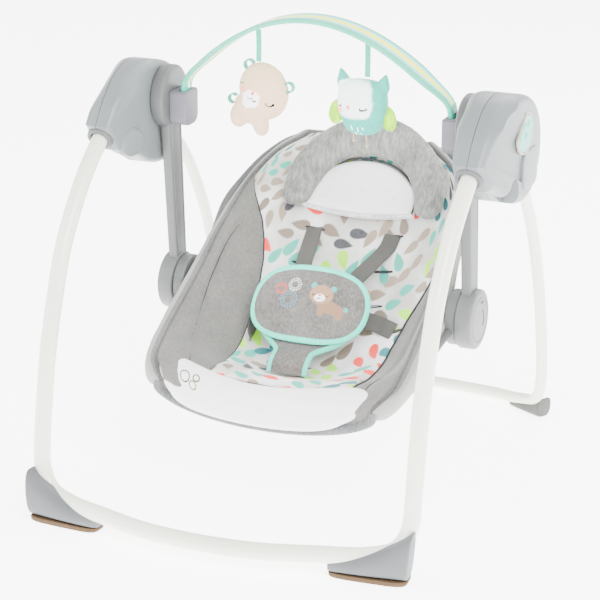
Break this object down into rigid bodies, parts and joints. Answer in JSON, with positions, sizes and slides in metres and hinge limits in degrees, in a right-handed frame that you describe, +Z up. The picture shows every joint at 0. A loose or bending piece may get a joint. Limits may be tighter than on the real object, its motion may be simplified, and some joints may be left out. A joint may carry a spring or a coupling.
{
  "type": "baby swing",
  "caption": "Portable baby swing: padded bucket seat on two swing arms, pivot housings on a folding tubular stand, toy bar with two hanging toys.",
  "frame": {"origin": "middle of the footprint, on the floor", "axes": "+Z up, +Y to the back of the seat, +X to the drive housing on the sitter's left"},
  "size_m": [0.559, 0.6882, 0.6135],
  "materials": {
    "arm_grey": "satin moulded plastic, darker grey",
    "bar_fabric": "padded striped fabric over a plastic spring strip",
    "battery_jacket": "printed foil jacket",
    "bear_plush": "short pile plush, beige",
    "buckle_grey": "moulded acetal",
    "bush_plastic": "acetal",
    "circuit_board": "green solder mask",
    "copper_wire": "enamelled copper winding",
    "dark_plastic": "glass filled nylon",
    "foot_grey": "matt moulded plastic",
    "heather_fabric": "heather grey jersey over foam",
    "housing_grey": "satin moulded plastic",
    "key_white": "small moulded keys",
    "owl_plush": "short pile plush, teal",
    "plush_grey": "grey short pile plush",
    "printed_fabric": "white woven fabric with leaf print",
    "release_grey": "moulded acetal",
    "ribbon": "woven teal ribbon",
    "socket_grey": "satin moulded plastic with a violet tint",
    "sole_rubber": "soft rubber",
    "speaker_black": "paper cone in a black basket",
    "steel": "plain steel",
    "teal_panel": "glossy teal label panel",
    "webbing": "grey woven webbing",
    "white_paint": "glossy white powder coat on steel tube",
    "white_velour": "white velour"
  },
  "bodies": {
    "stand": {"front_leg_tube": "white_paint", "front_foot_right": "foot_grey", "front_foot_left": "foot_grey", "front_sole_right": "sole_rubber", "front_sole_left": "sole_rubber", "hinge_bolt_right": "steel", "hinge_bolt_left": "steel", "housing_inner_right": "housing_grey", "housing_inner_left": "housing_grey", "housing_outer_right": "housing_grey", "housing_outer_left": "housing_grey", "axle_bush_right": "bush_plastic", "axle_bush_left": "bush_plastic", "drive_coil": "copper_wire", "circuit_board": "circuit_board", "speaker": "speaker_black", "battery_cell_1": "battery_jacket", "battery_cell_2": "battery_jacket", "battery_cell_3": "battery_jacket", "battery_cell_4": "battery_jacket", "control_panel": "teal_panel"},
    "rear_legs": {"rear_leg_tube": "white_paint", "rear_foot_right": "foot_grey", "rear_foot_left": "foot_grey", "leg_knuckle_right": "dark_plastic", "leg_knuckle_left": "dark_plastic"},
    "swing": {"swing_arm_right": "arm_grey", "swing_arm_left": "arm_grey", "swing_axle_right": "steel", "swing_axle_left": "steel", "drive_magnet": "steel", "toy_bar_socket_right": "socket_grey", "toy_bar_socket_left": "socket_grey"},
    "seat": {"seat_shell": "heather_fabric", "seat_liner": "printed_fabric", "front_pad": "white_velour", "headrest": "plush_grey", "seat_frame_front": "steel", "seat_frame_back": "steel", "recline_hub_right": "arm_grey", "recline_hub_left": "arm_grey", "waist_pad": "heather_fabric", "buckle": "buckle_grey", "shoulder_strap_right": "webbing", "shoulder_strap_left": "webbing", "waist_strap_right": "webbing", "waist_strap_left": "webbing"},
    "buckle_release": {"buckle_button": "release_grey"},
    "toy_arch": {"toy_bar": "bar_fabric"},
    "bear": {"bear_ribbon": "ribbon", "bear_toy": "bear_plush"},
    "owl": {"owl_ribbon": "ribbon", "owl_toy": "owl_plush"},
    "latch_right": {"fold_latch_right": "dark_plastic"},
    "latch_left": {"fold_latch_left": "dark_plastic"},
    "door": {"battery_door": "housing_grey"},
    "power_key": {"button_power": "key_white"},
    "speed_key": {"button_speed": "key_white"},
    "melody_key": {"button_melody": "key_white"},
    "volume_key": {"button_volume": "key_white"}
  },
  "joints": [
    {"name": "rear_leg_fold", "type": "hinge", "parent": "stand", "child": "rear_legs", "pos_m": [-0.0075, 0.0671, 0.445], "axis": [-1, 0, 0], "range_deg": [0, 60]},
    {"name": "swing_pivot", "type": "hinge", "parent": "stand", "child": "swing", "pos_m": [-0.0075, 0.0371, 0.487], "axis": [1, 0, 0], "range_deg": [-15, 15]},
    {"name": "seat_recline", "type": "hinge", "parent": "swing", "child": "seat", "pos_m": [-0.0075, 0.0521, 0.224], "axis": [-1, 0, 0], "range_deg": [0, 12]},
    {"name": "buckle_press", "type": "slide", "parent": "seat", "child": "buckle_release", "axis": [0, 0.7652, -0.6439], "range_m": [0, 0.002], "stiffness_N_per_m": 300},
    {"name": "toy_bar_lift", "type": "slide", "parent": "swing", "child": "toy_arch", "axis": [0, 0, 1], "range_m": [0, 0.045]},
    {"name": "bear_swing", "type": "hinge", "parent": "toy_arch", "child": "bear", "pos_m": [-0.0835, 0.0241, 0.589], "axis": [1, 0, 0], "range_deg": [-30, 30]},
    {"name": "owl_swing", "type": "hinge", "parent": "toy_arch", "child": "owl", "pos_m": [0.0685, 0.0241, 0.589], "axis": [1, 0, 0], "range_deg": [-30, 30]},
    {"name": "latch_right_press", "type": "slide", "parent": "stand", "child": "latch_right", "axis": [-1, 0, 0], "range_m": [0, 0.003], "stiffness_N_per_m": 400},
    {"name": "latch_left_press", "type": "slide", "parent": "stand", "child": "latch_left", "axis": [1, 0, 0], "range_m": [0, 0.003], "stiffness_N_per_m": 400},
    {"name": "battery_door_pull", "type": "slide", "parent": "stand", "child": "door", "axis": [1, 0, 0], "range_m": [0, 0.02]},
    {"name": "power_press", "type": "slide", "parent": "stand", "child": "power_key", "axis": [-1, 0, 0], "range_m": [0, 0.0012], "stiffness_N_per_m": 400},
    {"name": "speed_press", "type": "slide", "parent": "stand", "child": "speed_key", "axis": [-1, 0, 0], "range_m": [0, 0.0012], "stiffness_N_per_m": 400},
    {"name": "melody_press", "type": "slide", "parent": "stand", "child": "melody_key", "axis": [-1, 0, 0], "range_m": [0, 0.0012], "stiffness_N_per_m": 400},
    {"name": "volume_press", "type": "slide", "parent": "stand", "child": "volume_key", "axis": [-1, 0, 0], "range_m": [0, 0.0012], "stiffness_N_per_m": 400}
  ]
}
